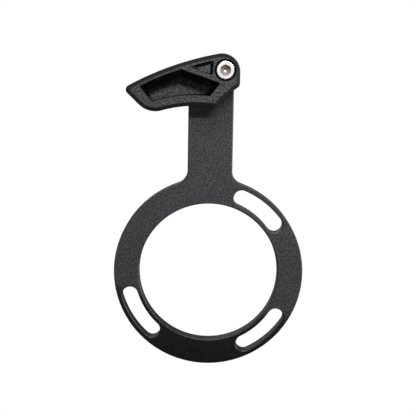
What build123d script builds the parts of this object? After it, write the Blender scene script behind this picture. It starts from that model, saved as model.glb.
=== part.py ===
from build123d import *
from math import radians, sqrt, tan
import os

# Bicycle chain guide: a slotted ring plate with an upright arm, and a two-part moulded cage that keeps the chain
# on the top of the chainring. Millimetres. The origin is the bottom bracket axis on the plate's mounting face.
# X points to the front of the bicycle, Z up along the arm, and -Y outboard, away from the frame.

# Backplate, cut from flat aluminium
plate_thickness = 5.7
ring_diameter = 84.4
ring_width = 11.2
arm_width = 19.7
arm_root_radius = 6.0
plate_edge = 0.45
back_edge = 0.35

# Three curved slots on the frame's tab circle, as angles from +X about the bore
slot_width = 7.1
slot_rim = 2.15
slot_sweep = 30.0
first_slot_angle = 52.0
slot_steps = (0.0, 160.0, 260.0)

# Cage, layered outboard from the plate's front face
inner_wall = 1.2
chain_gap = 9.1
outer_wall = 5.7

# Cage outline: a hollow lower edge, and heights above a circle round the chainring
lower_radius = 75.0
tip_reach = 37.2
tip_rise = 6.0
toe_reach = 26.1
lower_hollow = 1.88
heel_reach = 1.9
heel_drop = 1.25
heel_hollow = 0.5
nose_rise = 7.75
head_rise = 13.5
head_radius = 7.6
crown_radius = 128.0
tip_radius = 2.0
toe_radius = 9.8
heel_radius = 1.9
nose_radius = 2.1
bevel = 1.6
face_edge = 0.3
moulded_edge = 0.35

# Roof over the chain, and the window that looks under it
roof_thickness = 2.42
roof_rise = 5.9
roof_setback = 0.3
window_rear_inset = 7.1
window_peak_reach = 12.9
window_front_inset = 0.55
window_front_rise = 8.95
sill_front_rise = 3.5
sill_front_reach = 0.7
sill_rear_rise = 4.65
sill_rear_inset = 1.25
sill_bow = 1.25
window_corner = 0.5
rim_edge = 0.2

# Draft of the window's walls in degrees
crown_draft = 27.0
peak_draft = 27.0
front_draft = 16.0
sill_draft = 5.0
rear_draft = 7.0

# Triangular recess: its corners from the centre of the head, and the draft in degrees of the wall after each
recess_corners = ((-14.2, 1.75), (-3.45, 4.75), (-3.95, -1.6))
recess_drafts = (28.0, 27.5, 11.0)
recess_depth = 2.3
recess_corner = 0.6

# Low-headed socket cap screw through the cage into the arm
screw_offset_x = 1.45
screw_offset_z = 0.75
thread_diameter = 5.0
screw_length = 16.0
head_diameter = 7.75
head_height = 3.5
head_edge = 0.4
hex_across_flats = 4.0
hex_depth = 2.1
hex_dish_diameter = 3.4
hex_dish_depth = 0.6
screw_end = 0.6
head_sink = 0.35
thread_clearance = 0.1
shank_clearance = 0.5
counterbore_clearance = 0.95

# Rim of the inner half round the arm's head, and the peg that locates the outer half
rim_depth = 2.8
rim_wall = 1.65
rim_clearance = 0.2
peg_diameter = 3.4
peg_height = 2.0
peg_clearance = 0.25
peg_offset_x = -8.7
peg_offset_z = 0.0

# Bore and tab circle, which follow the ring
bore_diameter = ring_diameter - 2 * ring_width
slot_pitch_radius = ring_diameter / 2 - slot_rim - slot_width / 2

# Levels outboard of the mounting face
inner_level = plate_thickness + inner_wall
outer_level = inner_level + chain_gap
face_level = outer_level + outer_wall
seat_level = face_level - head_sink - head_height

# Places in the plane of the plate, the round head standing in front of the arm by the rim round it
arm_inset = rim_wall + rim_clearance
head_x = arm_width / 2 + arm_inset - head_radius
head = Vector(head_x, lower_radius + head_rise)
screw_place = head + Vector(screw_offset_x, screw_offset_z)
peg_place = head + Vector(peg_offset_x, peg_offset_z)
tip = Vector(-tip_reach, lower_radius + tip_rise)
nose = Vector(head_x + head_radius, lower_radius + nose_rise)
far = ring_diameter + lower_radius


def on_circle(radius, x):
    """Point at x on the upper half of a circle about the bore."""
    return Vector(x, sqrt(radius**2 - x**2))


def crown_centre():
    """Centre of the crown's arc, which runs through the tip and is tangent to the round head."""
    reach = crown_radius - head_radius
    span = tip - head
    along = (reach**2 - crown_radius**2 + span.length**2) / (2 * span.length)
    across = sqrt(reach**2 - along**2)
    direction = span.normalized()
    return head + direction * along + Vector(-direction.Y, direction.X) * across


crown = crown_centre()


def under_crown(depth, x):
    """Point at x on the arc that lies at a depth under the crown."""
    return Vector(x, crown.Y + sqrt((crown_radius - depth) ** 2 - (x - crown.X) ** 2))


def between(centre, start, end):
    """Middle of the short arc from start to end about a centre."""
    bisector = (start - centre).normalized() + (end - centre).normalized()
    return centre + bisector.normalized() * (start - centre).length


def slab(sketch, low, high):
    """Solid of a sketch between two levels outboard of the mounting face."""
    return extrude(Plane.XZ.offset(low) * sketch, amount=high - low, dir=(0, -1, 0))


def disc(place, diameter, low, high):
    """Round solid along the bore direction."""
    return slab(Pos(place.X, place.Y) * Circle(diameter / 2), low, high)


def rounded(sketch, corners):
    """Sketch with the vertex nearest each listed point rounded to that point's radius."""
    for point, radius in corners:
        sketch = fillet(sketch.vertices().sort_by_distance(point)[0], radius)
    return sketch


def box_sketch(left, right, low, high):
    """Rectangle from its four sides."""
    return Pos((left + right) / 2, (low + high) / 2) * Rectangle(right - left, high - low)


def front_face(solid):
    """Flat face furthest outboard."""
    return solid.faces().sort_by(Axis.Y)[0]


def back_face(solid):
    """Flat face furthest inboard."""
    return solid.faces().sort_by(Axis.Y)[-1]


# Outline that both halves of the cage share
def cage_outline():
    toe = on_circle(lower_radius, -toe_reach)
    heel = on_circle(lower_radius - heel_drop, heel_reach)
    shoulder = Vector(nose.X, head.Y)
    crown_start = crown + (head - crown).normalized() * crown_radius
    with BuildSketch() as outline:
        with BuildLine():
            Line(tip, toe)
            SagittaArc(toe, heel, lower_hollow)
            SagittaArc(heel, nose, heel_hollow)
            Line(nose, shoulder)
            ThreePointArc(shoulder, between(head, shoulder, crown_start), crown_start)
            ThreePointArc(crown_start, between(crown, crown_start, tip), tip)
        make_face()
    corners = ((tip, tip_radius), (toe, toe_radius), (heel, heel_radius), (nose, nose_radius))
    return rounded(outline.sketch, corners)


# Window corners: two under the crown, one over the chain, two on the sill
window_rear = under_crown(roof_thickness, -(tip_reach - window_rear_inset))
window_peak = under_crown(roof_thickness, -window_peak_reach)
window_front = on_circle(lower_radius + window_front_rise, head_x - window_front_inset)
sill_front = on_circle(lower_radius + sill_front_rise, -sill_front_reach)
sill_rear = on_circle(lower_radius + sill_rear_rise, -(toe_reach - sill_rear_inset))


def drafted_cutter(outline, walls, low, corner_radius):
    """Opening from the outer face down to a level, each wall leaning in by its own angle behind its rim."""
    solid = slab(outline, low, face_level)
    for middle, angle in walls:
        rim_point = Vector(middle.X, -face_level, middle.Y)
        sides = solid.faces().sort_by(Axis.Y)[1:-1]
        solid = draft(sides.sort_by_distance(rim_point)[0], Plane.XZ.offset(face_level), -angle)
    corners = [edge for edge in solid.edges() if edge.bounding_box().size.Y > (face_level - low) / 2]
    return fillet(corners, corner_radius)


def window_cutter():
    """Five-sided opening through the outer half."""
    crown_middle = between(crown, window_rear, window_peak)
    sill_span = (sill_front - sill_rear).normalized()
    sill_middle = (sill_front + sill_rear) / 2 + Vector(-sill_span.Y, sill_span.X) * sill_bow
    with BuildSketch() as outline:
        with BuildLine():
            ThreePointArc(window_rear, crown_middle, window_peak)
            Line(window_peak, window_front)
            Line(window_front, sill_front)
            ThreePointArc(sill_front, sill_middle, sill_rear)
            Line(sill_rear, window_rear)
        make_face()
    walls = (
        (crown_middle, crown_draft),
        ((window_peak + window_front) / 2, peak_draft),
        ((window_front + sill_front) / 2, front_draft),
        (sill_middle, sill_draft),
        ((sill_rear + window_rear) / 2, rear_draft),
    )
    return drafted_cutter(outline.sketch, walls, outer_level, window_corner)


def recess_cutter():
    """Shallow triangular pocket between the window and the screw."""
    points = [head + Vector(x, z) for x, z in recess_corners]
    triangle = make_face(Polyline(*points, close=True))
    middles = [(start + end) / 2 for start, end in zip(points, points[1:] + points[:1])]
    return drafted_cutter(triangle, zip(middles, recess_drafts), face_level - recess_depth, recess_corner)


# Roof of the chain channel: a wall that follows the crown, and a block round the screw that the window's wall hides
def roof_outline(outline):
    wall = outline - Pos(crown.X, crown.Y) * Circle(crown_radius - roof_thickness)
    ahead = nose.X + head_radius
    along = (window_front - window_peak).normalized()
    drop = Vector(along.Y, -along.X) * (outer_wall * tan(radians(peak_draft)) - roof_setback)
    corners = (
        window_peak + drop,
        window_front + drop,
        Vector(ahead, lower_radius),
        Vector(ahead, far),
        Vector(window_peak.X + drop.X, far),
    )
    block = outline & make_face(Polyline(*corners, close=True))
    return wall + block - Circle(lower_radius + roof_rise)


# Arm: straight sides up to the cage, then a head that follows the crown inside the inner half's rim
def arm_outline(outline):
    half = arm_width / 2
    neck = (nose.Y + head.Y) / 2
    shank = box_sketch(-half, half, 0, neck)
    top = box_sketch(-half, half, neck, far) & offset(outline, -arm_inset)
    return shank + top


def make_backplate(arm):
    ring_radius = ring_diameter / 2
    plate = Circle(ring_radius) + arm
    roots = [on_circle(ring_radius, side * arm_width / 2) for side in (-1, 1)]
    plate = rounded(plate, [(root, arm_root_radius) for root in roots])
    plate -= Circle(bore_diameter / 2)
    for step in slot_steps:
        start = first_slot_angle + step - slot_sweep / 2
        plate -= SlotArc(CenterArc((0, 0), slot_pitch_radius, start, slot_sweep), slot_width)
    plate -= Pos(screw_place.X, screw_place.Y) * Circle((thread_diameter + thread_clearance) / 2)
    solid = slab(plate, 0, plate_thickness)
    solid = chamfer(front_face(solid).edges(), plate_edge)
    return chamfer(back_face(solid).outer_wire().edges(), back_edge)


def edged_slab(outline, low, high):
    """Moulded slab with its inboard outer edge broken."""
    solid = slab(outline, low, high)
    return chamfer(back_face(solid).outer_wire().edges(), moulded_edge)


def make_inner_guide(outline, arm):
    solid = edged_slab(outline, plate_thickness - rim_depth, inner_level)
    solid -= slab(offset(arm, rim_clearance), 0, plate_thickness)
    solid += slab(roof_outline(outline), inner_level, outer_level)
    solid += disc(peg_place, peg_diameter, outer_level, outer_level + peg_height)
    return solid - disc(screw_place, thread_diameter + shank_clearance, 0, face_level)


def make_outer_guide(outline):
    solid = edged_slab(outline, outer_level, face_level)
    solid = chamfer(front_face(solid).outer_wire().edges(), bevel)
    solid = fillet(front_face(solid).outer_wire().edges(), face_edge)
    solid -= window_cutter()
    solid -= recess_cutter()
    rims = [edge for wire in front_face(solid).inner_wires() for edge in wire.edges()]
    solid = fillet(rims, rim_edge)
    solid -= disc(screw_place, head_diameter + counterbore_clearance, seat_level, face_level)
    solid -= disc(screw_place, thread_diameter + shank_clearance, outer_level, face_level)
    peg_top = outer_level + peg_height + peg_clearance
    return solid - disc(peg_place, peg_diameter + peg_clearance, outer_level, peg_top)


def make_clamp_screw():
    top = seat_level + head_height
    screw = disc(screw_place, head_diameter, seat_level, top)
    screw = fillet(front_face(screw).edges(), head_edge)
    shank = disc(screw_place, thread_diameter, seat_level - screw_length, seat_level)
    shank = chamfer(back_face(shank).edges(), screw_end)
    socket = RegularPolygon(hex_across_flats / 2, 6, major_radius=False, rotation=30)
    place = Pos(screw_place.X, screw_place.Y)
    floor = top - hex_depth
    dish_radius = (hex_dish_diameter**2 / 4 + hex_dish_depth**2) / (2 * hex_dish_depth)
    dish = Plane.XZ.offset(floor + dish_radius - hex_dish_depth) * place * Sphere(dish_radius)
    return screw + shank - slab(place * socket, floor, top) - (dish & disc(screw_place, head_diameter, 0, floor))


cage = cage_outline()
arm_shape = arm_outline(cage)
pieces = {
    "backplate": make_backplate(arm_shape),
    "inner_guide": make_inner_guide(cage, arm_shape),
    "outer_guide": make_outer_guide(cage),
    "clamp_screw": make_clamp_screw(),
}

os.makedirs("parts", exist_ok=True)
for name, piece in pieces.items():
    export_step(piece, f"parts/{name}.step")
    print(name, round(piece.volume), "mm3")
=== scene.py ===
from math import cos, radians, sin

import bmesh
import bpy
from mathutils import Matrix, Quaternion, Vector


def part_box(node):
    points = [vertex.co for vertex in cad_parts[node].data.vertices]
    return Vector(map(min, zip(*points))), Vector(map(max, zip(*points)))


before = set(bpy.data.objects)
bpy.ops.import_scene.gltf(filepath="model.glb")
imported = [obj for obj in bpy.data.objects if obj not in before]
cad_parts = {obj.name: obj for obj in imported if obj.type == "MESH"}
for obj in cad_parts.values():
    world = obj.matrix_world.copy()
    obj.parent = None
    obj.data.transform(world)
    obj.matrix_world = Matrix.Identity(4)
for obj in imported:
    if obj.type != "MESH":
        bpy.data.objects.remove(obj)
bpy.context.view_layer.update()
mm = 0.001

# Sizes of the finishes in millimetres: cells of their patterns, and rims and spots round the screw's axis
dimple = 0.8
dimple_depth = 0.12
dye_cloud = 14
nylon_grain = 0.9
nylon_grain_depth = 0.2
# Radius out to which the shade of the gap round the screw's head is painted black
painted_gap_shade_rim = 4.65
scuff = 0.6
socket_rim = 2.35
socket_reach = 3.5
socket_fade = 0.5
pressed_spot = 1.0
spot_fade = 0.2
soft_edge = 0.05
floor_cloud = 120

# Stage in millimetres, with the slope of the shade's edge in degrees
floor_half_width = 450
floor_middle = Vector((0, -50, -300))
cage_middle = Vector((-10, -20, 82))
key_distance = 900
fill_distance = 700
shade_line_middle = Vector((0, -5.7, -14.3))
shade_slope = 9.7
shade_distance = 55
shade_width = 160
shade_height = 90
under_width = 320
under_level = -90

# Camera where the photograph was taken from, in millimetres and degrees
eye = Vector((-5.1, -380.42, 84.45))
aim = Vector((-0.59, -5.7, 29.11))
roll = 0.98
focal_length = 74.13
sensor_width = 36.0


def linear(code):
    """Linear colour of an sRGB hex value."""
    levels = [int(code[i:i + 2], 16) / 255 for i in (1, 3, 5)]
    return [c / 12.92 if c <= 0.04045 else ((c + 0.055) / 1.055) ** 2.4 for c in levels] + [1.0]


def add(tree, kind, inputs=None, **settings):
    """Adds a node, gives it its settings, and fills its sockets with values or links."""
    made = tree.nodes.new(kind)
    for name, value in settings.items():
        setattr(made, name, value)
    for name, value in (inputs or {}).items():
        if isinstance(value, bpy.types.NodeSocket):
            tree.links.new(value, made.inputs[name])
        else:
            made.inputs[name].default_value = value
    return made


def new_material(name):
    """New material and its emptied node tree."""
    material = bpy.data.materials.new(name)
    material.use_nodes = True
    material.node_tree.nodes.clear()
    return material, material.node_tree


def grains(size):
    """Texture scale at which one cell of a pattern measures size in millimetres."""
    return 1 / (size * mm)


def finish_surface(tree, inputs):
    """Ends a material in one principled shader."""
    shader = add(tree, "ShaderNodeBsdfPrincipled", inputs)
    add(tree, "ShaderNodeOutputMaterial", {"Surface": shader.outputs["BSDF"]})


def off_screw_axis(tree, place):
    """Distance of a point from the clamp screw's axis."""
    low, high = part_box("clamp_screw")
    middle = (low + high) / 2
    from_middle = add(tree, "ShaderNodeVectorMath", {0: place, 1: middle}, operation="SUBTRACT")
    offset = add(tree, "ShaderNodeVectorMath", {
        0: from_middle.outputs["Vector"], 1: (1, 0, 1)}, operation="MULTIPLY")
    return add(tree, "ShaderNodeVectorMath", {
        0: offset.outputs["Vector"]}, operation="LENGTH").outputs["Value"]


def flatness(tree, facing):
    """How squarely a face looks along the bottom bracket axis: 1 on the flat faces, 0 on upright walls."""
    outboard = add(tree, "ShaderNodeSeparateXYZ", {"Vector": facing}).outputs["Y"]
    return add(tree, "ShaderNodeMath", {0: outboard}, operation="ABSOLUTE").outputs["Value"]


def sent_on(tree):
    """Whether a ray comes straight from the camera, and whether metal or glass has sent it on."""
    ray = add(tree, "ShaderNodeLightPath").outputs
    mirrored = add(tree, "ShaderNodeMath", {
        0: ray["Is Glossy Ray"], 1: ray["Is Transmission Ray"]}, operation="MAXIMUM")
    return ray["Is Camera Ray"], mirrored.outputs["Value"]


# Black anodised aluminium, bead-blasted before the dye: a dark metal whose dimples scatter one lamp into a
# fine glitter. Real dimples are a tenth of a millimetre, and are drawn coarser here so that they show. The
# chamfers were cut after the blasting, so they are smoother, and their paler line shows where they face the
# light.
def blasted_black_anodising():
    material, tree = new_material("blasted_black_anodising")
    spot = add(tree, "ShaderNodeTexCoord").outputs
    dimples = add(tree, "ShaderNodeTexNoise", {
        "Vector": spot["Object"], "Scale": grains(dimple), "Detail": 3.0, "Roughness": 0.6}).outputs["Fac"]
    clouds = add(tree, "ShaderNodeTexNoise", {
        "Vector": spot["Object"], "Scale": grains(dye_cloud), "Detail": 2.0}).outputs["Fac"]
    speck = add(tree, "ShaderNodeMapRange", {
        "Value": dimples, "From Min": 0.3, "From Max": 0.7}).outputs["Result"]
    blasted_dye = add(tree, "ShaderNodeMix", {
        "Factor": speck, "A": linear("#383839"), "B": linear("#68686a")}, data_type="RGBA").outputs["Result"]
    blasted_gloss = add(tree, "ShaderNodeMapRange", {
        "Value": clouds, "From Min": 0.3, "From Max": 0.7, "To Min": 0.77, "To Max": 0.82}).outputs["Result"]
    off_chamfer = add(tree, "ShaderNodeMath", {
        0: flatness(tree, spot["Normal"]), 1: cos(radians(45))}, operation="SUBTRACT").outputs["Value"]
    apart = add(tree, "ShaderNodeMath", {0: off_chamfer}, operation="ABSOLUTE").outputs["Value"]
    chamfer = add(tree, "ShaderNodeMapRange", {
        "Value": apart, "From Min": 0.2, "From Max": 0.1}).outputs["Result"]
    dye = add(tree, "ShaderNodeMix", {
        "Factor": chamfer, "A": blasted_dye, "B": linear("#7c7c7e")}, data_type="RGBA")
    gloss = add(tree, "ShaderNodeMix", {
        "Factor": chamfer, "A": blasted_gloss, "B": 0.55}, data_type="FLOAT")
    relief = add(tree, "ShaderNodeBump", {
        "Height": dimples, "Strength": 0.8, "Distance": dimple_depth * mm})
    finish_surface(tree, {
        "Base Color": dye.outputs["Result"], "Metallic": 1.0, "Roughness": gloss.outputs["Result"],
        "Normal": relief.outputs["Normal"]})
    return material


# Glass-filled nylon, moulded black in a spark-eroded tool: almost no colour of its own, and a soft sheen
# broken up by the tool's fine grain, which is drawn a little coarser than the real one. Upright walls that
# look inwards have no grain, which would drag on the tool's core, so they are smooth and mirror the dark
# inside of the cage; their colour is darkened too, as painted shade. Round the screw, the counterbore and a
# ring of the face round its mouth are painted black and matt, as painted shade of the gap round the head.
def moulded_black_nylon():
    material, tree = new_material("moulded_black_nylon")
    spot = add(tree, "ShaderNodeTexCoord").outputs
    grain = add(tree, "ShaderNodeTexNoise", {
        "Vector": spot["Object"], "Scale": grains(nylon_grain), "Detail": 1.0,
        "Roughness": 0.6}).outputs["Fac"]
    speck = add(tree, "ShaderNodeMapRange", {
        "Value": grain, "From Min": 0.35, "From Max": 0.65}).outputs["Result"]
    pigment = add(tree, "ShaderNodeMix", {
        "Factor": speck, "A": linear("#0d0d0e"), "B": linear("#1e1e20")}, data_type="RGBA").outputs["Result"]
    gloss = add(tree, "ShaderNodeMapRange", {
        "Value": speck, "To Min": 0.72, "To Max": 0.44}).outputs["Result"]
    low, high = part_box("outer_guide")
    to_middle = add(tree, "ShaderNodeVectorMath", {
        0: (low + high) / 2, 1: spot["Object"]}, operation="SUBTRACT").outputs["Vector"]
    inward = add(tree, "ShaderNodeVectorMath", {
        0: spot["Normal"], 1: to_middle}, operation="DOT_PRODUCT").outputs["Value"]
    inner = add(tree, "ShaderNodeMapRange", {
        "Value": inward, "From Min": 0.0, "From Max": 1.0 * mm}).outputs["Result"]
    upright = add(tree, "ShaderNodeMapRange", {
        "Value": flatness(tree, spot["Normal"]), "From Min": 0.6, "From Max": 0.5}).outputs["Result"]
    # Painted shade: upright walls that look inwards are darkened, as well as made smooth and free of grain
    smooth_shaded_wall = add(tree, "ShaderNodeMath", {0: inner, 1: upright}, operation="MULTIPLY").outputs["Value"]
    pigment_and_wall_shade = add(tree, "ShaderNodeMix", {
        "Factor": smooth_shaded_wall, "A": pigment, "B": linear("#040405")}, data_type="RGBA").outputs["Result"]
    sheen = add(tree, "ShaderNodeMix", {
        "Factor": smooth_shaded_wall, "A": gloss, "B": 0.2}, data_type="FLOAT").outputs["Result"]
    grain_height = add(tree, "ShaderNodeMapRange", {
        "Value": smooth_shaded_wall, "To Min": 1.0, "To Max": 0.1}).outputs["Result"]
    # Painted shade: the counterbore and a ring of the face round its mouth are painted near black and matt
    painted_gap_shade = add(tree, "ShaderNodeMapRange", {
        "Value": off_screw_axis(tree, spot["Object"]), "From Min": (painted_gap_shade_rim + soft_edge) * mm,
        "From Max": (painted_gap_shade_rim - soft_edge) * mm}).outputs["Result"]
    tone = add(tree, "ShaderNodeMix", {
        "Factor": painted_gap_shade, "A": pigment_and_wall_shade, "B": linear("#020202")}, data_type="RGBA")
    dullness = add(tree, "ShaderNodeMix", {
        "Factor": painted_gap_shade, "A": sheen, "B": 1.0}, data_type="FLOAT")
    relief = add(tree, "ShaderNodeBump", {
        "Height": grain, "Strength": grain_height, "Distance": nylon_grain_depth * mm})
    finish_surface(tree, {
        "Base Color": tone.outputs["Result"], "Roughness": dullness.outputs["Result"], "IOR": 1.53,
        "Normal": relief.outputs["Normal"]})
    return material


# Bright steel, cold-headed and tumbled: a clean metal with a soft shine. The tumbling doesn't reach into the
# socket, so its walls and a round rim at its mouth keep the dull brown film of the forging, round a spot on
# its floor that the point of the punch has pressed smooth.
def tumbled_bright_steel():
    material, tree = new_material("tumbled_bright_steel")
    place = add(tree, "ShaderNodeTexCoord").outputs["Object"]
    head_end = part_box("clamp_screw")[0].y
    radius = off_screw_axis(tree, place)
    mouth = add(tree, "ShaderNodeMapRange", {
        "Value": radius, "From Min": (socket_rim + soft_edge) * mm,
        "From Max": (socket_rim - soft_edge) * mm}).outputs["Result"]
    inward = add(tree, "ShaderNodeSeparateXYZ", {"Vector": place}).outputs["Y"]
    in_head = add(tree, "ShaderNodeMapRange", {
        "Value": inward, "From Min": head_end + (socket_reach + socket_fade) * mm,
        "From Max": head_end + socket_reach * mm}).outputs["Result"]
    socket = add(tree, "ShaderNodeMath", {0: mouth, 1: in_head}, operation="MULTIPLY").outputs["Value"]
    film = add(tree, "ShaderNodeMapRange", {
        "Value": radius, "From Min": (pressed_spot - spot_fade) * mm,
        "From Max": (pressed_spot + spot_fade) * mm}).outputs["Result"]
    filmed = add(tree, "ShaderNodeMath", {0: socket, 1: film}, operation="MULTIPLY").outputs["Value"]
    scuffs = add(tree, "ShaderNodeTexNoise", {
        "Vector": place, "Scale": grains(scuff), "Detail": 2.0}).outputs["Fac"]
    tumbled = add(tree, "ShaderNodeMix", {
        "Factor": scuffs, "A": linear("#cac6c1"), "B": linear("#d6d3cf")}, data_type="RGBA").outputs["Result"]
    tone = add(tree, "ShaderNodeMix", {
        "Factor": socket, "A": tumbled, "B": linear("#988d83")}, data_type="RGBA")
    shine = add(tree, "ShaderNodeMapRange", {
        "Value": scuffs, "From Min": 0.3, "From Max": 0.7, "To Min": 0.22, "To Max": 0.28}).outputs["Result"]
    forged = add(tree, "ShaderNodeMapRange", {
        "Value": film, "To Min": 0.35, "To Max": 0.7}).outputs["Result"]
    gloss = add(tree, "ShaderNodeMix", {
        "Factor": socket, "A": shine, "B": forged}, data_type="FLOAT")
    bare = add(tree, "ShaderNodeMapRange", {
        "Value": filmed, "To Min": 1.0, "To Max": 0.15})
    finish_surface(tree, {
        "Base Color": tone.outputs["Result"], "Metallic": bare.outputs["Result"],
        "Roughness": gloss.outputs["Result"]})
    return material


def dress(name, material):
    """Puts a material on a CAD node."""
    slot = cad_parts[name].material_slots[0]
    slot.link = "OBJECT"
    slot.material = material


nylon = moulded_black_nylon()
dress("backplate", blasted_black_anodising())
dress("inner_guide", nylon)
dress("outer_guide", nylon)
dress("clamp_screw", tumbled_bright_steel())


def in_scene(name, shape, material):
    """Object in the scene made of a finished bmesh and one material."""
    mesh = bpy.data.meshes.new(name)
    shape.to_mesh(mesh)
    shape.free()
    mesh.materials.append(material)
    made = bpy.data.objects.new(name, mesh)
    bpy.context.scene.collection.objects.link(made)
    return made


# Pale floor, well below the guide, which hangs in the air as it does on its bicycle. It is lifted towards
# white for the eye and for reflections alone, so that it adds no light.
def pale_floor():
    material, tree = new_material("pale_floor")
    place = add(tree, "ShaderNodeTexCoord").outputs["Object"]
    clouds = add(tree, "ShaderNodeTexNoise", {
        "Vector": place, "Scale": grains(floor_cloud), "Detail": 2.0}).outputs["Fac"]
    tone = add(tree, "ShaderNodeMix", {
        "Factor": clouds, "A": linear("#e6e6e4"), "B": linear("#ececea")}, data_type="RGBA").outputs["Result"]
    camera_ray, mirrored_ray = sent_on(tree)
    seen = add(tree, "ShaderNodeMath", {0: camera_ray, 1: mirrored_ray}, operation="MAXIMUM").outputs["Value"]
    lift = add(tree, "ShaderNodeMath", {0: seen, 1: 0.5}, operation="MULTIPLY").outputs["Value"]
    finish_surface(tree, {
        "Base Color": tone, "Roughness": 0.8, "Emission Color": tone, "Emission Strength": lift})
    shape = bmesh.new()
    bmesh.ops.create_grid(shape, x_segments=1, y_segments=1, size=floor_half_width * mm)
    bmesh.ops.translate(shape, verts=shape.verts, vec=floor_middle * mm)
    floor = in_scene("floor", shape, material)


def black_card(name, corner, width, height):
    """Flat card on two edges from a corner, which only takes light away and which the camera doesn't see."""
    material, tree = new_material(name)
    finish_surface(tree, {"Base Color": linear("#080808"), "Roughness": 0.9})
    corners = (corner, corner + width, corner + width + height, corner + height)
    shape = bmesh.new()
    shape.faces.new([shape.verts.new(point * mm) for point in corners])
    card = in_scene(name, shape, material)
    card.visible_camera = False
    return card


def lamp(name, place, across, beam, size, power, colour="#ffffff"):
    """Rectangular area lamp at a place in millimetres, shining against beam with its width along across."""
    light = bpy.data.lights.new(name, "AREA")
    light.shape = "RECTANGLE"
    light.size = size[0] * mm
    light.size_y = size[1] * mm
    light.energy = power
    light.color = linear(colour)[:3]
    made = bpy.data.objects.new(name, light)
    bpy.context.scene.collection.objects.link(made)
    beam = beam.normalized()
    across = (across - beam * across.dot(beam)).normalized()
    turn = Matrix((across, beam.cross(across), beam)).transposed().to_4x4()
    made.matrix_world = Matrix.Translation(place * mm) @ turn
    made.visible_camera = False


def direction(right, up):
    """Direction from the guide towards a lamp, in degrees to the right of the outboard side and above it."""
    right = radians(right)
    up = radians(up)
    return Vector((sin(right) * cos(up), -cos(right) * cos(up), sin(up)))


# White world for the camera, a white sweep behind the guide for its reflections, and a dim room in front
def studio_world():
    world = bpy.data.worlds.new("studio")
    bpy.context.scene.world = world
    world.use_nodes = True
    tree = world.node_tree
    tree.nodes.clear()
    camera_ray, mirrored_ray = sent_on(tree)
    way = add(tree, "ShaderNodeTexCoord").outputs["Generated"]
    inboard = add(tree, "ShaderNodeSeparateXYZ", {"Vector": way}).outputs["Y"]
    sweep = add(tree, "ShaderNodeMapRange", {
        "Value": inboard, "From Min": 0.8, "From Max": 1.0}, interpolation_type="SMOOTHSTEP")
    behind = add(tree, "ShaderNodeMath", {
        0: mirrored_ray, 1: sweep.outputs["Result"]}, operation="MULTIPLY")
    white = add(tree, "ShaderNodeMath", {
        0: camera_ray, 1: behind.outputs["Value"]}, operation="MAXIMUM")
    room = add(tree, "ShaderNodeBackground", {"Color": linear("#15171b"), "Strength": 1.0})
    paper = add(tree, "ShaderNodeBackground", {"Color": linear("#ffffff"), "Strength": 1.0})
    both = add(tree, "ShaderNodeMixShader", {
        0: white.outputs["Value"], 1: room.outputs["Background"], 2: paper.outputs["Background"]})
    add(tree, "ShaderNodeOutputWorld", {"Surface": both.outputs["Shader"]})


pale_floor()
studio_world()

# Key: a long narrow softbox above the camera and a little to the right of it
sideways = Vector((1, 0, 0))
key_beam = direction(12, 20)
key_place = cage_middle + key_beam * key_distance
lamp("key", key_place, sideways, key_beam, (400, 60), 7.0)

# Shade: a card that keeps the key's beam off the foot of the ring, along a line that falls to the front
shade_edge = Vector((cos(radians(shade_slope)), 0, -sin(radians(shade_slope)))) * shade_width
shade_top = shade_line_middle + (key_place - shade_line_middle).normalized() * shade_distance
shade = black_card("shade_card", shade_top - shade_edge / 2, shade_edge, Vector((0, 0, -shade_height)))
shade.visible_glossy = False
shade.visible_diffuse = False

# Dark card under the guide, so that the floor throws no light up at it
under_corner = Vector((-under_width / 2, -under_width / 2, under_level))
black_card("under_card", under_corner, sideways * under_width, Vector((0, under_width, 0)))

# Fill: softboxes overhead in front, by the camera and at the right side, and one behind for the hidden side
high_beam = direction(0, 45)
front_beam = direction(-3, 2)
lamp("high", cage_middle + high_beam * fill_distance, sideways, high_beam, (400, 400), 2.0)
lamp("front", cage_middle + front_beam * fill_distance, sideways, front_beam, (400, 400), 0.5, "#f0f3ff")
lamp("side", Vector((520, -100, 80)), Vector((0, 1, 0)), Vector((1, -0.2, 0.1)), (300, 300), 0.65)
lamp("behind", Vector((-320, 520, 280)), sideways, Vector((-0.6, 1, 0.45)), (500, 400), 1.6)

# Camera level with the cage and looking down at the ring
camera_data = bpy.data.cameras.new("camera")
camera_data.sensor_width = sensor_width
camera_data.lens = focal_length
camera_data.clip_start = 10 * mm
camera_data.clip_end = 10.0
camera = bpy.data.objects.new("camera", camera_data)
bpy.context.scene.collection.objects.link(camera)
camera.rotation_mode = "QUATERNION"
camera.location = eye * mm
camera.rotation_quaternion = (aim - eye).to_track_quat("-Z", "Y") @ Quaternion((0, 0, 1), radians(roll))
bpy.context.scene.camera = camera
bpy.context.scene.view_settings.view_transform = "Standard"
